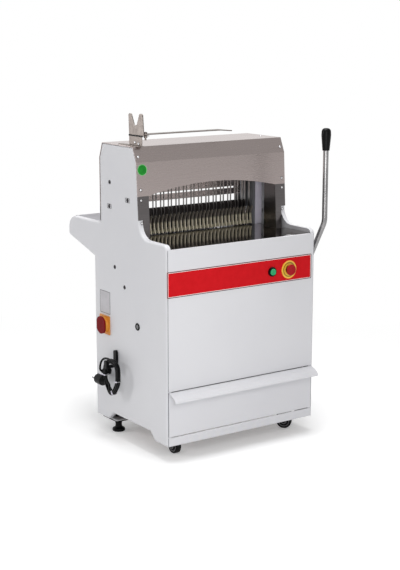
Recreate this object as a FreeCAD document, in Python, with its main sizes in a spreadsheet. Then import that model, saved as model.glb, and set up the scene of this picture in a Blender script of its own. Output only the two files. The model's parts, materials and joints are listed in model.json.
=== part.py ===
"""Floor-standing bread slicer with a hand lever, as separate pieces.

Lengths are in millimetres. X runs across the machine (+X is its right side, seen from the front), +Y runs
from the front to the rear and +Z is up. The origin lies on the floor under the middle of the machine.
Inside this file a place is given as (across, depth, height): depth is measured back from the front face and
height from the bottom edge of the cabinet.
"""
import FreeCAD, Part
import math
import os
import Sketcher
from FreeCAD import Placement, Rotation, Vector

doc = FreeCAD.newDocument("bread_slicer")
sheet = doc.addObject("Spreadsheet::Sheet", "Dimensions")
subparts = []


# ---------------------------------------------------------------- sizes bound to the spreadsheet

class Size:
    """A length that carries both its value and the spreadsheet expression it comes from."""

    def __init__(self, value, text):
        self.value = value
        self.text = text

    def __add__(self, other):
        return combined(self, "+", other)

    def __radd__(self, other):
        return combined(other, "+", self)

    def __sub__(self, other):
        return combined(self, "-", other)

    def __rsub__(self, other):
        return combined(other, "-", self)

    def __mul__(self, other):
        return combined(self, "*", other)

    def __rmul__(self, other):
        return combined(other, "*", self)

    def __truediv__(self, other):
        return combined(self, "/", other)

    def __neg__(self):
        return combined(0, "-", self)


def value_of(length):
    return length.value if isinstance(length, Size) else float(length)


def text_of(length):
    return length.text if isinstance(length, Size) else f"({float(length)})"


def combined(first, sign, second):
    a = value_of(first)
    b = value_of(second)
    results = {"+": a + b, "-": a - b, "*": a * b, "/": a / b if b else 0.0}
    return Size(results[sign], f"({text_of(first)} {sign} {text_of(second)})")


def size(alias, value):
    """Write one driving dimension into the spreadsheet."""
    row = len(size.rows) + 1
    size.rows.append(alias)
    sheet.set(f"A{row}", alias)
    sheet.set(f"B{row}", str(value))
    sheet.setAlias(f"B{row}", alias)
    return Size(float(value), f"Dimensions.{alias}")


size.rows = []


def bind(thing, path, length):
    """Set a property to a length and tie it to the spreadsheet."""
    if isinstance(length, Size):
        thing.setExpression(path, length.text)
    else:
        thing.setExpression(path, text_of(length))


# ---------------------------------------------------------------- driving dimensions

cabinet_width = size("cabinet_width", 620)
cabinet_lift = size("cabinet_lift", 54)
front_face = size("front_face", -303)
sheet_metal = size("sheet_metal", 1.5)
gap = size("gap", 0.3)
half = cabinet_width / 2

side_flange = size("side_flange", 18)
side_front = size("side_front", 1.8)
side_height = size("side_height", 680)
cabinet_rear = size("cabinet_rear", 464)
wing_reach = size("wing_reach", 647)
wing_top = size("wing_top", 702)
wing_low = size("wing_low", 632)
wing_joint = size("wing_joint", 578)
tower_low_front = size("tower_low_front", 167)
tower_front = size("tower_front", 181)
tower_rear = size("tower_rear", 418)
hood_shoulder = size("hood_shoulder", 932)
hood_top = size("hood_top", 981)
hood_top_front = size("hood_top_front", 202)
hood_top_rear = size("hood_top_rear", 399)
cutout_height = size("cutout_height", 28)
rolled_edge = size("rolled_edge", 6)

panel_half_width = size("panel_half_width", 304)
panel_low = size("panel_low", 189)
panel_top = size("panel_top", 664)
drawer_top = size("drawer_top", 186)
drawer_low = size("drawer_low", 33)
plinth_top = size("plinth_top", 30)

table_top = size("table_top", 662)
table_rear = size("table_rear", 292)
tray_front = size("tray_front", 338)
tray_rear = size("tray_rear", 641)
opening_half_width = size("opening_half_width", 265)
arch_spring = size("arch_spring", 820)
arch_rise = size("arch_rise", 31)
rear_mouth_top = size("rear_mouth_top", 760)
rear_slot_low = size("rear_slot_low", 782.5)

slice_pitch = size("slice_pitch", 16)
slice_count = 32
blade_thickness = size("blade_thickness", 0.8)
blade_depth = size("blade_depth", 8)
blade_inset = size("blade_inset", 3.6)
blade_length = size("blade_length", 335)
frame_half_width = size("frame_half_width", 276)
frame_bar = size("frame_bar", 20)
frame_post = size("frame_post", 14)
frame_a_front = size("frame_a_front", 300)
frame_b_front = size("frame_b_front", 318)
frame_a_low = size("frame_a_low", 560)
frame_b_low = size("frame_b_low", 510)
blade_stroke = size("blade_stroke", 50)

crank_depth = size("crank_depth", 316)
crank_height = size("crank_height", 330)
crank_radius = size("crank_radius", 15)
web_radius = size("web_radius", 45)
pin_radius = size("pin_radius", 10)
crank_throw = blade_stroke / 2
crank_pulley_radius = size("crank_pulley_radius", 70)
motor_depth = size("motor_depth", 130)
motor_height = size("motor_height", 242)
motor_radius = size("motor_radius", 65)
motor_pulley_radius = size("motor_pulley_radius", 35)
running_clearance = size("running_clearance", 0.05)

lever_across = size("lever_across", 345)
lever_pivot_depth = size("lever_pivot_depth", 160)
lever_pivot_height = size("lever_pivot_height", 400)
lever_depth = size("lever_depth", -8.5)
lever_bend_height = size("lever_bend_height", 702)
lever_rod_radius = size("lever_rod_radius", 9.6)
grip_low = size("grip_low", 951)
grip_length = size("grip_length", 77)
rocker_length = size("rocker_length", 235)
rocker_lean = 30.0

caster_across = size("caster_across", 234)
caster_depth = size("caster_depth", 88)
caster_trail = size("caster_trail", 16)
right_caster_heading = 40
wheel_radius = size("wheel_radius", 27.5)
mounting_height = size("mounting_height", 11)
foot_across = size("foot_across", 264)
foot_depth = size("foot_depth", 390)

cord_radius = size("cord_radius", 3.8)
switch_depth = size("switch_depth", 395)
switch_height = size("switch_height", 343.5)
knob_radius = size("knob_radius", 31)
gland_depth = size("gland_depth", 372)
gland_height = size("gland_height", 182)

strip_low = size("strip_low", 506)
strip_top = size("strip_top", 593)
control_height = size("control_height", 548)
button_across = size("button_across", 121)
estop_across = size("estop_across", 194.5)


# ---------------------------------------------------------------- builders

ALONG_X = Rotation(Vector(0, 1, 0), 90)
ALONG_Y = Rotation(Vector(1, 0, 0), -90)
ALONG_Z = Rotation()
TO_FRONT = Rotation(Vector(1, 0, 0), 90)
TO_LEFT = Rotation(Vector(0, 1, 0), -90)
PLANE_YZ = Rotation(Vector(1, 1, 1), 120)
PLANE_XZ = Rotation(Vector(1, 0, 0), 90)


def place(thing, across, depth, height, turn=ALONG_Z):
    """Put a thing at a place in the cabinet, tied to the spreadsheet."""
    thing.Placement = Placement(Vector(), turn)
    bind(thing, "Placement.Base.x", across)
    bind(thing, "Placement.Base.y", front_face + depth)
    bind(thing, "Placement.Base.z", cabinet_lift + height)
    return thing


def keep(thing, label):
    """Name a finished sub-part."""
    thing.Label = label
    subparts.append(thing)
    return thing


def slab(across, depth, height, name="slab"):
    """A box between three pairs of limits."""
    solid = doc.addObject("Part::Box", name)
    bind(solid, "Length", across[1] - across[0])
    bind(solid, "Width", depth[1] - depth[0])
    bind(solid, "Height", height[1] - height[0])
    return place(solid, across[0], depth[0], height[0])


def rod(turn, radius, length, across, depth, height, name="rod"):
    """A cylinder that starts at a place and runs along one axis."""
    solid = doc.addObject("Part::Cylinder", name)
    bind(solid, "Radius", radius)
    bind(solid, "Height", length)
    return place(solid, across, depth, height, turn)


def group(parts, name="group"):
    """Separate solids that share one node."""
    bundle = doc.addObject("Part::Compound", name)
    bundle.Links = parts
    return bundle


def union(parts, name="union"):
    whole = doc.addObject("Part::MultiFuse", name)
    whole.Shapes = parts
    whole.Refine = True
    return whole


def minus(base, tools, name="cut"):
    result = doc.addObject("Part::Cut", name)
    result.Base = base
    result.Tool = tools[0] if len(tools) == 1 else group(tools)
    return result


def mirrored(source, name="mirrored"):
    """The same piece on the other side of the machine."""
    image = doc.addObject("Part::Mirroring", name)
    image.Source = source
    image.Normal = Vector(1, 0, 0)
    return image


def corner_points(corner, before, after, radius):
    """Start, middle and end of the arc that rounds a corner."""
    towards_before = (before - corner).normalize()
    towards_after = (after - corner).normalize()
    half_angle = towards_before.getAngle(towards_after) / 2
    reach = radius / math.tan(half_angle)
    centre = corner + (towards_before + towards_after).normalize() * (radius / math.sin(half_angle))
    middle = centre + (corner - centre).normalize() * radius
    return corner + towards_before * reach, middle, corner + towards_after * reach


def draw(sketch, corners):
    """Draw a closed outline, each corner tied to the spreadsheet and rounded where it has a radius."""
    spots = [Vector(value_of(corner[0]), value_of(corner[1]), 0) for corner in corners]
    radii = [corner[2] if len(corner) > 2 else None for corner in corners]
    count = len(corners)
    arcs = []
    for index, spot in enumerate(spots):
        if radii[index] is None:
            arcs.append((spot, None, spot))
        else:
            after = spots[(index + 1) % count]
            arcs.append(corner_points(spot, spots[index - 1], after, value_of(radii[index])))
    lines = []
    for index in range(count):
        start = arcs[index][2]
        end = arcs[(index + 1) % count][0]
        lines.append(sketch.addGeometry(Part.LineSegment(start, end), False))
    for index, spot in enumerate(spots):
        before = lines[index - 1]
        after = lines[index]
        fixed = after
        if radii[index] is None:
            sketch.addConstraint(Sketcher.Constraint("Coincident", before, 2, after, 1))
        else:
            start, middle, end = arcs[index]
            clockwise = (middle - start).cross(end - middle).z < 0
            curve = Part.Arc(end, middle, start) if clockwise else Part.Arc(start, middle, end)
            arc = sketch.addGeometry(curve, False)
            sketch.addConstraint(Sketcher.Constraint("Tangent", before, 2, arc, 2 if clockwise else 1))
            sketch.addConstraint(Sketcher.Constraint("Tangent", after, 1, arc, 1 if clockwise else 2))
            rounding = sketch.addConstraint(Sketcher.Constraint("Radius", arc, value_of(radii[index])))
            bind(sketch, f"Constraints[{rounding}]", radii[index])
            fixed = sketch.addGeometry(Part.Point(spot), True)
            sketch.addConstraint(Sketcher.Constraint("PointOnObject", fixed, 1, before))
            sketch.addConstraint(Sketcher.Constraint("PointOnObject", fixed, 1, after))
        for kind, length in (("DistanceX", corners[index][0]), ("DistanceY", corners[index][1])):
            place_index = sketch.addConstraint(Sketcher.Constraint(kind, -1, 1, fixed, 1, value_of(length)))
            bind(sketch, f"Constraints[{place_index}]", length)
    return sketch


def outline(corners, turn, across=0, depth=0, height=0, name="outline"):
    """A closed outline in a plane of the cabinet."""
    sketch = doc.addObject("Sketcher::SketchObject", name)
    place(sketch, across, depth, height, turn)
    return draw(sketch, corners)


def extruded(sketch, direction, length, name="extruded", symmetric=False):
    solid = doc.addObject("Part::Extrusion", name)
    solid.Base = sketch
    solid.DirMode = "Custom"
    solid.Dir = direction
    solid.Solid = True
    solid.Symmetric = symmetric
    bind(solid, "LengthFwd", length)
    return solid


def side_profile(corners, across, width, name="profile"):
    """A bent sheet or bar drawn from the side (depth, height) and as wide as it is across."""
    return extruded(outline(corners, PLANE_YZ, across=across), Vector(1, 0, 0), width, name)


def turned(corners, label, across, depth, height, turn=ALONG_Z):
    """A body turned about its axis from an outline of (radius, distance along the axis)."""
    body = doc.addObject("PartDesign::Body", label)
    sketch = body.newObject("Sketcher::SketchObject", f"{label}_outline")
    plane = [item for item in body.Origin.OriginFeatures if item.Role == "XZ_Plane"][0]
    sketch.AttachmentSupport = [(plane, "")]
    sketch.MapMode = "FlatFace"
    draw(sketch, corners)
    doc.recompute()
    turning = body.newObject("PartDesign::Revolution", f"{label}_turning")
    turning.Profile = sketch
    turning.ReferenceAxis = (sketch, ["V_Axis"])
    turning.Angle = 360
    body.Tip = turning
    return place(body, across, depth, height, turn)


def both_sides(across_low, across_high, depth, height):
    """The same box on the right and on the left."""
    right = slab((across_low, across_high), depth, height)
    left = slab((-across_high, -across_low), depth, height)
    return [right, left]


# ---------------------------------------------------------------- casing

def side_outline():
    return [
        (side_front, 0),
        (76, 0),
        (108, cutout_height),
        (350, cutout_height),
        (384, 0),
        (cabinet_rear, 0),
        (cabinet_rear, wing_joint),
        (wing_reach, wing_low, 12),
        (wing_reach, wing_top, 45),
        (tower_rear, wing_top, 8),
        (tower_rear, hood_shoulder - 2),
        (hood_top_rear, hood_top),
        (hood_top_front, hood_top),
        (tower_front, hood_shoulder),
        (tower_low_front, side_height, 57),
        (side_front, side_height, 19),
    ]


def lies_at(piece, across):
    """Whether an edge or a face lies in one plane across the machine."""
    box = piece.BoundBox
    return abs(box.XMin - across) < 1e-3 and abs(box.XMax - across) < 1e-3


def panel_hollow(body, outer, towards, label):
    """The space inside a folded panel: its outline one sheet thickness in, with a smaller roll."""
    face = [face for face in body.Shape.Faces if lies_at(face, outer)][0]
    inset = face.makeOffset2D(-sheet_metal.value, 2, False, False, False)
    inset.translate(Vector(sheet_metal.value * towards, 0, 0))
    start = outer + sheet_metal.value * towards
    block = inset.extrude(Vector((side_flange.value + 5) * towards, 0, 0))
    rims = [edge for edge in block.Edges if lies_at(edge, start)]
    tool = doc.addObject("Part::Feature", f"{label}_hollow")
    tool.Shape = block.makeFillet(rolled_edge.value - sheet_metal.value, rims)
    return tool


def side_panel(outer_side, label):
    """A folded sheet: its flat outline, a rolled edge all round and flanges that point inwards."""
    outer = half * outer_side
    body = side_profile(side_outline(), outer, side_flange * -outer_side, f"{label}_block")
    doc.recompute()
    rolled = doc.addObject("Part::Fillet", f"{label}_rolled")
    rolled.Base = body
    rims = [number for number, edge in enumerate(body.Shape.Edges, 1) if lies_at(edge, outer.value)]
    rolled.Edges = [(number, rolled_edge.value, rolled_edge.value) for number in rims]
    return minus(rolled, [panel_hollow(body, outer.value, -outer_side, label)])


def build_side_panels():
    switch_hole = rod(ALONG_X, 11.2, 20, -half - 10, switch_depth, switch_height)
    keep(minus(side_panel(-1, "left_side_panel"), [switch_hole]), "left_side_panel")
    right = side_panel(1, "right_side_panel")
    shaft_hole = rod(ALONG_X, 12, 30, half - 25, lever_pivot_depth, lever_pivot_height)
    keep(minus(right, [shaft_hole]), "right_side_panel")


def build_front_panels():
    across = (-panel_half_width, panel_half_width)
    lip = size("front_lip", 12)
    face = slab(across, (0, sheet_metal), (panel_low, panel_top))
    fold_half = half - side_flange - 0.5
    fold = slab((-fold_half, fold_half), (0, lip), (panel_top - sheet_metal, panel_top))
    holes = [rod(ALONG_Y, 11, 20, middle, -10, control_height) for middle in (button_across, estop_across)]
    keep(minus(union([face, fold]), holes), "front_panel")
    keep(slab(across, (0, sheet_metal), (0, plinth_top)), "plinth_rail")


def build_rear_panel():
    outside = cabinet_rear + gap
    keep(slab((-panel_half_width, panel_half_width), (outside, outside + sheet_metal), (31, wing_joint - 8)),
         "rear_panel")


def tower_line(height):
    """How far back the leaning front edge of the tower stands at a height."""
    slope = (tower_front - tower_low_front) / (hood_shoulder - side_height)
    return tower_low_front + (height - side_height) * slope


def arch_tool():
    """The arched opening through the front of the hood."""
    spring = arch_spring.value
    ends = [Vector(-opening_half_width.value, spring, 0), Vector(opening_half_width.value, spring, 0)]
    peak = Vector(0, spring + arch_rise.value, 0)
    low = [end - Vector(0, 20, 0) for end in ends]
    wire = Part.Wire([
        Part.LineSegment(low[0], low[1]).toShape(),
        Part.LineSegment(low[1], ends[1]).toShape(),
        Part.Arc(ends[1], peak, ends[0]).toShape(),
        Part.LineSegment(ends[0], low[0]).toShape(),
    ])
    tool = doc.addObject("Part::Feature", "arch_tool")
    tool.Shape = Part.Face(wire).extrude(Vector(0, 0, -200))
    return place(tool, 0, 100, 0, PLANE_XZ)


def build_hood():
    proud = sheet_metal + gap
    seam_front = tower_line(arch_spring)
    outer = [
        (seam_front - proud, arch_spring),
        (tower_front - proud, hood_shoulder),
        (hood_top_front - 1, hood_top + proud),
        (hood_top_rear + 1, hood_top + proud),
        (tower_rear + proud, hood_shoulder - 2),
        (tower_rear + proud, rear_mouth_top),
    ]
    inner = [
        (tower_rear + gap, rear_mouth_top),
        (tower_rear + gap, hood_shoulder - 2),
        (hood_top_rear + 0.3, hood_top + gap),
        (hood_top_front - 0.3, hood_top + gap),
        (tower_front - gap, hood_shoulder),
        (seam_front - gap, arch_spring),
    ]
    cover = side_profile(outer + inner, -half, cabinet_width, "hood_sheet")
    slot = slab((-262, 262), (tower_rear - 2, tower_rear + 4), (rear_slot_low, rear_slot_low + 6))
    keep(minus(cover, [arch_tool(), slot]), "hood_cover")


def front_post():
    """The right front post: strips that follow the leaning tower and a return into the opening."""
    proud = sheet_metal + gap
    foot = table_top + 0.2
    shoulder = size("cove_top", 741)
    top = arch_spring - 0.4
    inner = opening_half_width + 1

    def strip(low, high, width):
        return side_profile([
            (tower_line(low) - proud, low),
            (tower_line(low) - gap, low),
            (tower_line(high) - gap, high),
            (tower_line(high) - proud, high),
        ], inner, width)

    return_leg = side_profile([
        (tower_line(foot) - gap, foot),
        (237, foot),
        (237, top),
        (tower_line(top) - gap, top),
    ], inner, sheet_metal)
    inside = half - side_flange - 0.5
    lower = strip(foot, shoulder, inside - inner)
    upper = strip(shoulder, top, half - 0.2 - inner)
    return union([lower, upper, return_leg])


def build_posts():
    proud = sheet_metal + gap
    right = front_post()
    rear = both_sides(opening_half_width + 1, half - 0.2, (tower_rear + gap, tower_rear + proud),
                      (wing_top + 9, rear_mouth_top - 0.4))
    keep(group([right, mirrored(right)] + rear), "tower_posts")


def build_table_and_tray():
    low = table_top - sheet_metal
    front_part = slab((-half + 3.2, half - 3.2), (6, 166), (low, table_top))
    rear_part = slab((-(half - 21), half - 21), (160, table_rear), (low, table_top))
    keep(union([front_part, rear_part]), "front_table")
    tray_half = size("tray_half", 283)
    floor = slab((-tray_half, tray_half), (tray_front, tray_rear), (low, table_top))
    wall = slab((-tray_half, tray_half), (tray_rear - sheet_metal, tray_rear), (wing_low + 2, wing_top - 4))
    keep(union([floor, wall]), "rear_tray")
    slope = (wing_low - wing_joint) / (wing_reach - cabinet_rear)
    near = cabinet_rear + 2.5
    far = cabinet_rear + 170

    def under(depth):
        return wing_joint + (depth - cabinet_rear) * slope - gap

    cover = side_profile([
        (near, under(near)),
        (near, under(near) - sheet_metal),
        (far, under(far) - sheet_metal),
        (far, under(far)),
    ], -panel_half_width, panel_half_width * 2)
    keep(cover, "tray_underside")


# ---------------------------------------------------------------- frame

def build_frame():
    tube_in = half - 20
    tube_out = half - 3
    front_cross = slab((-(half - 18.5), half - 18.5), (64, 112), (mounting_height, 31))
    rear_cross = slab((-(half - 18.5), half - 18.5), (424, 458), (0, 31))
    sills = both_sides(half - 21, half - 5, (4, 460), (31, 61))
    keep(group([front_cross, rear_cross] + sills), "base_frame")
    uprights = []
    for depth, top in ((8, 655), (215, 970), (383, 955)):
        uprights += both_sides(tube_in, tube_out, (depth, depth + 20), (61, top))
    notch = rod(ALONG_X, 16, 8, -half, switch_depth, switch_height)
    uprights[-1] = minus(uprights[-1], [notch])
    keep(group(uprights), "frame_uprights")
    rails = []
    for start, low in ((235, 200), (235, 500), (296.5, 700), (296.5, 939)):
        rails += both_sides(tube_in, tube_out, (start, 383), (low, low + 16))
    rails += both_sides(tube_in, tube_out, (28, 215), (156, 168))
    for depth, low, high in ((245, 200, 216), (369, 200, 216), (219, 954, 970), (384, 939, 955),
                             (56, 156, 168), (190, 156, 168)):
        rails.append(slab((-tube_in, tube_in), (depth, depth + 16), (low, high)))
    rails.append(slab((-100, 130), (56, 206), (168, 172)))
    keep(group(rails), "frame_rails")


def build_feet():
    feet = []
    for side, word in ((-1, "left"), (1, "right")):
        corners = [
            (0, 0), (22.8, 0), (22.8, 9, 3), (13, 22), (10, 30), (10, 48.9), (5, 48.9), (5, 54.2),
            (9, 54.2), (9, 60), (5, 60), (5, 66), (0, 66),
        ]
        feet.append(turned(corners, f"foot_{word}", foot_across * side, foot_depth, -cabinet_lift))
    keep(group(feet), "levelling_feet")


def foot_plates():
    """The plates below the frame that the levelling feet are bolted to."""
    blanks = both_sides(foot_across - 32, foot_across + 34, (345, 440), (-5, 0))
    return [minus(blank, [rod(ALONG_Z, 5.1, 10, foot_across * side, foot_depth, -8)])
            for side, blank in zip((1, -1), blanks)]


def swivelled(thing, across, heading):
    """A part of a caster, turned about its swivel axis."""
    bundle = group([thing])
    axis = Vector(across.value, front_face.value + caster_depth.value, 0)
    bundle.Placement = Placement(Vector(), Rotation(Vector(0, 0, 1), heading), axis)
    return bundle


def build_casters():
    crown_top = size("caster_crown_top", 6.9)
    plate_low = crown_top + 0.7
    axle_height = wheel_radius - cabinet_lift
    wheel_depth = caster_depth - caster_trail
    plates = []
    for side, word, heading in ((-1, "left", 0), (1, "right", right_caster_heading)):
        across = caster_across * side
        plate = slab((across - 30, across + 30), (caster_depth - 30, caster_depth + 30),
                     (plate_low, mounting_height))
        king_hole = rod(ALONG_Z, 4 + running_clearance, 10, across, caster_depth, 5)
        plates.append(minus(plate, [king_hole]))
        crown = rod(ALONG_Z, 19, 3.3, across, caster_depth, crown_top - 3.3)
        king_pin = rod(ALONG_Z, 4, 3.8, across, caster_depth, crown_top)
        cheek_corners = [
            (caster_depth - 14, crown_top - 3.3),
            (caster_depth + 12, crown_top - 3.3),
            (wheel_depth + 9, axle_height, 6),
            (wheel_depth, axle_height - 9, 6),
            (wheel_depth - 9, axle_height, 6),
        ]
        cheeks = [side_profile(cheek_corners, across + offset, 2) for offset in (13.5, -15.5)]
        axle = rod(ALONG_X, 4, 35, across - 17.5, wheel_depth, axle_height)
        fork = union([crown, king_pin, axle] + cheeks)
        keep(swivelled(fork, across, heading), f"caster_fork_{word}")
        tread = [
            (4 + running_clearance, -12), (12, -12), (13, -8), (20.5, -8), (22.5, -11),
            (wheel_radius, -10, 4), (wheel_radius, 10, 4), (22.5, 11), (20.5, 8), (13, 8), (12, 12),
            (4 + running_clearance, 12),
        ]
        wheel = turned(tread, f"wheel_{word}", across, wheel_depth, axle_height, ALONG_X)
        keep(swivelled(wheel, across, heading), f"caster_wheel_{word}")
    keep(group(plates + foot_plates()), "mounting_plates")


# ---------------------------------------------------------------- blades

def blade_frame(label, front, low):
    """A rectangle of two bars and two posts that holds one set of blades."""
    depth = (front, front + frame_post)
    top = low + frame_bar + blade_length
    across = (-frame_half_width, frame_half_width)
    bars = [slab(across, depth, (low, low + frame_bar)), slab(across, depth, (top, top + frame_bar))]
    posts = both_sides(frame_half_width - frame_post, frame_half_width, depth, (low + frame_bar, top))
    keep(group(bars + posts), label)


def blade_set(label, start, low, first):
    """Every second blade of the row, held between the two bars of its frame."""
    bottom = low + frame_bar
    blades = []
    for index in range(first, slice_count + 1, 2):
        across = slice_pitch * (index - slice_count / 2) - blade_thickness / 2
        blades.append(slab((across, across + blade_thickness), (start, start + blade_depth),
                           (bottom, bottom + blade_length)))
    keep(group(blades), label)


def build_blades():
    """Both sets lie on the facing edges of their frames, so that all blades form nearly one row."""
    blade_frame("blade_frame_a", frame_a_front, frame_a_low)
    blade_frame("blade_frame_b", frame_b_front, frame_b_low)
    blade_set("blades_a", frame_a_front + frame_post + blade_inset - blade_depth, frame_a_low, 0)
    blade_set("blades_b", frame_b_front - blade_inset, frame_b_low, 1)


def connecting_rod(across, thickness, eye_height, foot_front, foot_height):
    """A flat rod from a frame's lower bar down to the eye beside a crank pin."""
    middle = foot_front + frame_post / 2
    shank = side_profile([
        (crank_depth - 9, eye_height),
        (crank_depth + 9, eye_height),
        (middle + 7, foot_height),
        (middle - 3, foot_height),
    ], across, thickness)
    eye = rod(ALONG_X, 16, thickness, across, crank_depth, eye_height)
    bore = rod(ALONG_X, pin_radius + 0.1, thickness + 4, across - 2, crank_depth, eye_height)
    return minus(union([shank, eye]), [bore])


def build_connecting_rods():
    top_eye = crank_height + crank_throw
    low_eye = crank_height - crank_throw
    outer = [connecting_rod(across, 8, top_eye, frame_a_front, frame_a_low) for across in (252, -260)]
    keep(group(outer), "connecting_rods_a")
    keep(connecting_rod(-8, 16, low_eye, frame_b_front, frame_b_low), "connecting_rod_b")


def build_guide_rails():
    web = slab((277.5, 281), (296.5, 336), (480, 955))
    flange = slab((270, 299), (table_rear + 1.5, 296.5), (table_top + 0.2, 950))
    spacers = [slab((281, 290), (306, 326), (low, low + 16)) for low in (500, 700, 939)]
    rail = union([web, flange] + spacers)
    keep(group([rail, mirrored(rail)]), "blade_guides")


# ---------------------------------------------------------------- pusher

def finger_outline():
    """A curved finger that cradles the loaf, with a leg that runs back between the blades."""
    front = [(285, 667), (289, 680), (290.5, 694), (290, 707), (286.5, 719), (280, 727)]
    back = [
        (284, 733), (292.5, 726), (298, 712), (299.6, 698), (299.2, 684), (297.5, 676),
        (345, 676), (345, 667),
    ]
    return front, back


def smooth_edge(points):
    spots = [Vector(0, depth, height) for depth, height in points]
    curve = Part.BSplineCurve()
    curve.interpolate(spots)
    return curve.toShape()


def build_fingers():
    front, back = finger_outline()
    curved_back = back[:5]
    straight = [Vector(0, depth, height) for depth, height in back[4:] + front[:1]]
    edges = [smooth_edge(front)]
    edges.append(Part.LineSegment(Vector(0, *front[-1]), Vector(0, *back[0])).toShape())
    edges.append(smooth_edge(curved_back))
    for start, end in zip(straight, straight[1:]):
        edges.append(Part.LineSegment(start, end).toShape())
    thickness = size("finger_thickness", 3)
    blank = Part.Face(Part.Wire(edges)).extrude(Vector(thickness.value, 0, 0))
    fingers = []
    for index in range(slice_count):
        finger = doc.addObject("Part::Feature", "finger")
        finger.Shape = blank
        middle = slice_pitch * (index + 0.5 - slice_count / 2)
        fingers.append(place(finger, middle - thickness / 2, 0, 0))
    keep(group(fingers), "pusher_fingers")


def build_pusher_plate():
    """The plate behind the blades that carries the fingers, with a folded top edge."""
    corners = [(345, 667), (346.5, 667), (346.5, 746.5), (354, 746.5), (354, 748), (345, 748)]
    width = opening_half_width - 3
    sheet_part = side_profile(corners, -width, width * 2)
    ears = both_sides(width, 284.5, (345, 349), (667, 697))
    keep(union([sheet_part] + ears), "pusher_plate")


def build_side_plates():
    """Flat plates beside the slide rods: the carriage at the rear and the lever's slot at the front."""
    lean = math.radians(rocker_lean)
    roller_depth = lever_pivot_depth.value - rocker_length.value * math.sin(lean)
    thickness = size("side_plate_thickness", 5)
    inner = size("side_plate_inner", 284.5)
    corners = [
        (roller_depth - 17, 584),
        (roller_depth + 17, 584),
        (roller_depth + 17, 620),
        (335, 620),
        (345, 629.2),
        (400, 629.2),
        (400, 699, 6),
        (345, 699, 6),
        (345, 650),
        (roller_depth + 17, 652),
        (roller_depth - 17, 652),
    ]
    slot = [
        (roller_depth - 10.8, 592, 4),
        (roller_depth + 10.8, 592, 4),
        (roller_depth + 10.8, 646, 4),
        (roller_depth - 10.8, 646, 4),
    ]
    plate = minus(side_profile(corners, inner, thickness), [side_profile(slot, inner - 1, thickness + 2)])
    keep(group([plate, mirrored(plate)]), "pusher_side_plates")
    slide_across = size("slide_across", 277)
    slide_radius = size("slide_radius", 6)
    slide_height = size("slide_height", 641)
    block = slab((270.5, inner), (346, 396), (629, 653))
    bore = rod(ALONG_Y, slide_radius + running_clearance, 80, slide_across, 335, slide_height)
    bush = minus(block, [bore])
    keep(group([bush, mirrored(bush)]), "pusher_bushes")
    slide_front = 344.5
    slide_rear = 632
    slide = rod(ALONG_Y, slide_radius, slide_rear - slide_front, slide_across, slide_front, slide_height)
    ends = ((slide_front - 5, slide_front), (slide_rear, slide_rear + 5))
    brackets = [slab((267, 284), depths, (631.5, table_top - sheet_metal)) for depths in ends]
    right = [slide] + brackets
    keep(group(right + [mirrored(piece) for piece in right]), "slide_rods")


# ---------------------------------------------------------------- hand lever

def build_lever():
    """The shaft with its two rockers; returns the bearings that carry it."""
    lean = math.radians(rocker_lean)
    roller_depth = lever_pivot_depth.value - rocker_length.value * math.sin(lean)
    roller_height = lever_pivot_height.value + rocker_length.value * math.cos(lean)
    shaft = rod(ALONG_X, 10, 303 + 355, -303, lever_pivot_depth, lever_pivot_height)
    rockers = []
    along = Vector(0, roller_depth - lever_pivot_depth.value, roller_height - lever_pivot_height.value)
    across_arm = Vector(1, 0, 0).cross(along).normalize() * 12
    for side in (-1, 1):
        start = 270 if side > 0 else -278
        pivot = (lever_pivot_depth.value, lever_pivot_height.value)
        arm = side_profile([
            (pivot[0] + across_arm.y, pivot[1] + across_arm.z),
            (roller_depth + across_arm.y, roller_height + across_arm.z),
            (roller_depth - across_arm.y, roller_height - across_arm.z),
            (pivot[0] - across_arm.y, pivot[1] - across_arm.z),
        ], start, 8)
        hub = rod(ALONG_X, 19, 8, start, lever_pivot_depth, lever_pivot_height)
        end = rod(ALONG_X, 12, 8, start, roller_depth, roller_height)
        pin_start = 278 if side > 0 else -289.5
        pin = rod(ALONG_X, 4, 11.5, pin_start, roller_depth, roller_height)
        roller = rod(ALONG_X, 8, 10, 279 if side > 0 else -289, roller_depth, roller_height)
        rockers += [arm, hub, end, pin, roller]
    keep(union([shaft] + rockers), "lever_shaft")
    bearings = []
    for start in (half - 18, -(half - 1.7)):
        housing = rod(ALONG_X, 22, 16.3, start, lever_pivot_depth, lever_pivot_height)
        bore = rod(ALONG_X, 10 + running_clearance, 30, start - 5, lever_pivot_depth, lever_pivot_height)
        bearings.append(minus(housing, [bore]))
    build_lever_arm()
    return bearings


def build_lever_arm():
    """A hub on the shaft and a round rod that leans forward, bends and stands up to the grip."""
    pivot = Vector(0, lever_pivot_depth.value, lever_pivot_height.value)
    bend = Vector(0, lever_depth.value, lever_bend_height.value)
    top = Vector(0, lever_depth.value, grip_low.value + 40)
    bend_radius = 60
    start, middle, end = corner_points(bend, pivot, top, bend_radius)
    path = Part.Wire([
        Part.LineSegment(pivot, start).toShape(),
        Part.Arc(start, middle, end).toShape(),
        Part.LineSegment(end, top).toShape(),
    ])
    circle = Part.Wire([Part.Circle(pivot, start - pivot, lever_rod_radius.value).toShape()])
    tube = path.makePipeShell([circle], True, False)
    bent_rod = doc.addObject("Part::Feature", "lever_rod")
    bent_rod.Shape = tube
    place(bent_rod, lever_across, 0, 0)
    hub = rod(ALONG_X, 20, 24, lever_across - 12, lever_pivot_depth, lever_pivot_height)
    bore = rod(ALONG_X, 10, 40, lever_across - 20, lever_pivot_depth, lever_pivot_height)
    keep(minus(union([bent_rod, hub]), [bore]), "lever_arm")
    corners = [
        (lever_rod_radius, 0), (12.5, 0, 1), (17, grip_length - 24, 40), (15.5, grip_length, 12),
        (0, grip_length), (0, 40), (lever_rod_radius, 40),
    ]
    keep(turned(corners, "lever_grip", lever_across, lever_depth, grip_low), "lever_grip")


# ---------------------------------------------------------------- drive

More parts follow.
